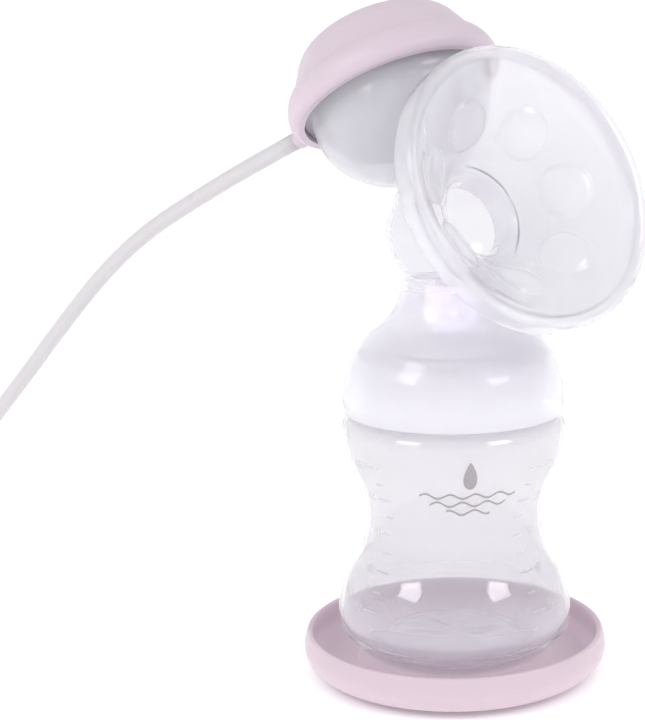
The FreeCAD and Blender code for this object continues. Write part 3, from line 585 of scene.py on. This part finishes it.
def diaphragm():
    """The diaphragm: a clamped rim with a bead, and the cup with a rolled edge that the air draws up."""
    rim = outline([
        (23.4, 3.3), (23.6, 3.15, 0.2), (26.7, 3.15), (26.9, 3.35, 0.2), (26.9, 4.6), (26.7, 4.8, 0.2),
        (24.5, 4.8), (23.4, 4.8, 0.6), (23.4, 3.3),
    ], 0.4)
    turned("diaphragm_edge", rim[:-1], CAP_FRAME, DIAPHRAGM, "pump_head", ["diaphragm_rim"], 128, closed=True)
    cup = outline([
        (0, -11.4), (6, -11.3), (7, -10.9), (8, -11.2), (15.5, -11.0), (20.5, -6.0, 5.0), (21.6, 2.5),
        (22.4, 4.5, -4.0), (22.0, 5.3, 0.5), (20.7, 2.6, 5.0), (19.5, -5.9), (15.5, -10.0, -4.0),
        (8, -10.2), (7, -9.9), (6, -10.3), (0, -10.5),
    ], 0.5)
    turned("diaphragm_skin", cup, CAP_FRAME, DIAPHRAGM, "diaphragm", ["diaphragm_cup"], 128)


def side_radius(z):
    """The bottle's outer radius at a height between its widest ring and its shoulder."""
    ring = WIDEST if z < WAIST[1] else SHOULDER
    bend = swing(ring)
    rise = abs(ring[1] - WAIST[1])
    away = abs(z - ring[1])
    if away <= rise / 2:
        return ring[0] - (bend - math.sqrt(bend * bend - away * away))
    away = rise - away
    return WAIST[0] + (bend - math.sqrt(bend * bend - away * away))


def on_bottle(angle, across, z, proud):
    """A point on the bottle's side: across in millimetres along the surface from a bearing."""
    r = side_radius(z)
    turn = angle + across / r
    return Vector(((r + proud) * math.cos(turn), (r + proud) * math.sin(turn), z))


def ribbon(points, faces, line, angle, thick, proud=0.06):
    """Adds a narrow printed line along (across, z) points."""
    first = len(points)
    for here, following in zip(line, line[1:] + [line[-1]]):
        points.append(on_bottle(angle, here[0], here[1] + thick / 2, proud))
        points.append(on_bottle(angle, here[0], here[1] - thick / 2, proud))
    for k in range(len(line) - 1):
        a = first + 2 * k
        faces.append((a, a + 1, a + 3, a + 2))


def print_motif():
    """The grey print on the bottle: a plain drop of milk over three waves."""
    points, faces = [], []
    steps, columns = 28, 8
    for k in range(steps + 1):
        share = k / steps
        z = DROP_FOOT + DROP_HEIGHT * share
        half = DROP_WIDTH / 2 * 1.54 * math.sqrt(max(0, share)) * (1 - share) ** 0.9
        for c in range(columns + 1):
            points.append(on_bottle(PRINT_BEARING, half * (2 * c / columns - 1), z, 0.06))
    for k in range(steps):
        for c in range(columns):
            a = k * (columns + 1) + c
            b = a + columns + 1
            faces.append((a, a + 1, b + 1, b))
    for wave, (drop, half) in enumerate(((2.2, 13.5), (4.7, 10.5), (7.2, 6.0))):
        line = [
            (across, DROP_FOOT - drop + 0.7 * math.sin(TURN * across / 6.75 + wave * math.pi))
            for across in np.linspace(-half, half, 73)
        ]
        ribbon(points, faces, line, PRINT_BEARING, 0.6)
    new_piece("bottle_print", points, faces, PRINT, "bottle_body", smooth=True)


def scale_marks():
    """Raised graduations with their numbers on both sides of the bottle."""
    points, faces = [], []
    for bearing, outward in SCALE_BEARINGS:
        for mark in range(MARKS):
            z = FIRST_MARK + MARK_STEP * mark
            line = [(outward * across, z) for across in np.linspace(0, MARK_LENGTHS[mark % 2], 7)]
            ribbon(points, faces, line, bearing, 0.45, 0.25)
            if mark % 2:
                continue
            corners, shapes = lettering(str(FIRST_NUMBER + NUMBER_STEP * (mark // 2)))
            first = len(points)
            start = outward * NUMBER_OFFSET - (max(corner.x for corner in corners) if outward < 0 else 0)
            low = z - NUMBER_HEIGHT / 2
            points += [on_bottle(bearing, start + corner.x, low + corner.y, 0.25) for corner in corners]
            faces += [tuple(first + i for i in face) for face in shapes]
    new_piece("bottle_scale", points, faces, MARKING, "bottle_body", smooth=False)


def lettering(text):
    """A flat number, as its points and faces."""
    curve = bpy.data.curves.new("number", "FONT")
    curve.body = text
    curve.size = NUMBER_SIZE
    curve.resolution_u = 3
    shown = bpy.data.objects.new("number", curve)
    bpy.context.collection.objects.link(shown)
    mesh = bpy.data.meshes.new_from_object(shown)
    points = [vertex.co.copy() for vertex in mesh.vertices]
    faces = [tuple(face.vertices) for face in mesh.polygons]
    bpy.data.objects.remove(shown)
    bpy.data.meshes.remove(mesh)
    return points, faces


bottle()
body()
cushion()
diaphragm()
print_motif()
scale_marks()
for name, used in {
    "stand_dish": DISH_PINK, "cap_shell": CAP_PINK, "hose_nozzle": CAP_PINK, "valve_sleeve": MILKY,
    "valve_lip_front": MILKY, "valve_lip_back": MILKY, "cap_inner_ring": WHITE, "coil_tie": WHITE,
    "hose_end_connector": WHITE,
}.items():
    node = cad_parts[name]
    node.data.materials.clear()
    node.data.materials.append(used)


# ---- studio ---------------------------------------------------------------------------------------


def studio():
    """A white floor under a white sky that dims towards the zenith, with two soft boxes for the window
    highlights. The floor glows evenly to stay white, except under the dish's overhang, where its glow fades
    out as painted shade beneath the dish.
    """
    floor_material = material("floor_white", colour=(0.93, 0.93, 0.93), rough=0.7, noise_scale=3, spread=0.01,
                              Emission_Color=(1, 1, 1, 1))
    # painted shade: no floor glow under the dish's overhang
    past_painted_dish_shade = ramp(floor_material, from_axis(floor_material), 0.036, 0.046)
    vary(floor_material, "Emission Strength", 0.0, (past_painted_dish_shade, 0.37))
    corners = [(x * FLOOR_REACH, y * FLOOR_REACH, 0) for x, y in ((-1, -1), (1, -1), (1, 1), (-1, 1))]
    floor = new_piece("floor", corners, [(0, 1, 2, 3)], floor_material, None, smooth=False)
    world = bpy.data.worlds.new("studio")
    world.use_nodes = True
    nodes, links = world.node_tree.nodes, world.node_tree.links
    nodes["Background"].inputs["Color"].default_value = (1, 1, 1, 1)
    way_out = nodes.new("ShaderNodeTexCoord")
    split = nodes.new("ShaderNodeSeparateXYZ")
    links.new(way_out.outputs["Generated"], split.inputs["Vector"])
    sky = nodes.new("ShaderNodeMapRange")
    sky.inputs["To Min"].default_value = 1.08
    sky.inputs["To Max"].default_value = 0.5
    links.new(split.outputs["Z"], sky.inputs["Value"])
    links.new(sky.outputs["Result"], nodes["Background"].inputs["Strength"])
    bpy.context.scene.world = world
    middle = Vector((0, 0, 0.1))
    for name, turn in (("soft_box_left", -LAMP_TURN), ("soft_box_right", LAMP_TURN)):
        data = bpy.data.lights.new(name, "AREA")
        data.shape = "RECTANGLE"
        data.size, data.size_y = LAMP_SIZE
        data.energy = LAMP_WATTS
        lamp = bpy.data.objects.new(name, data)
        bpy.context.collection.objects.link(lamp)
        a, e = math.radians(CAMERA_AZIMUTH + turn), math.radians(LAMP_RISE)
        way = Vector((math.sin(a) * math.cos(e), -math.cos(a) * math.cos(e), math.sin(e)))
        facing = way.to_track_quat("Z", "Y").to_matrix().to_4x4()
        lamp.matrix_world = Matrix.Translation(middle + way * LAMP_DISTANCE) @ facing
    scene = bpy.context.scene
    scene.view_settings.view_transform = "Standard"
    scene.cycles.max_bounces = 24
    scene.cycles.transmission_bounces = 24
    scene.cycles.transparent_max_bounces = 24


studio()
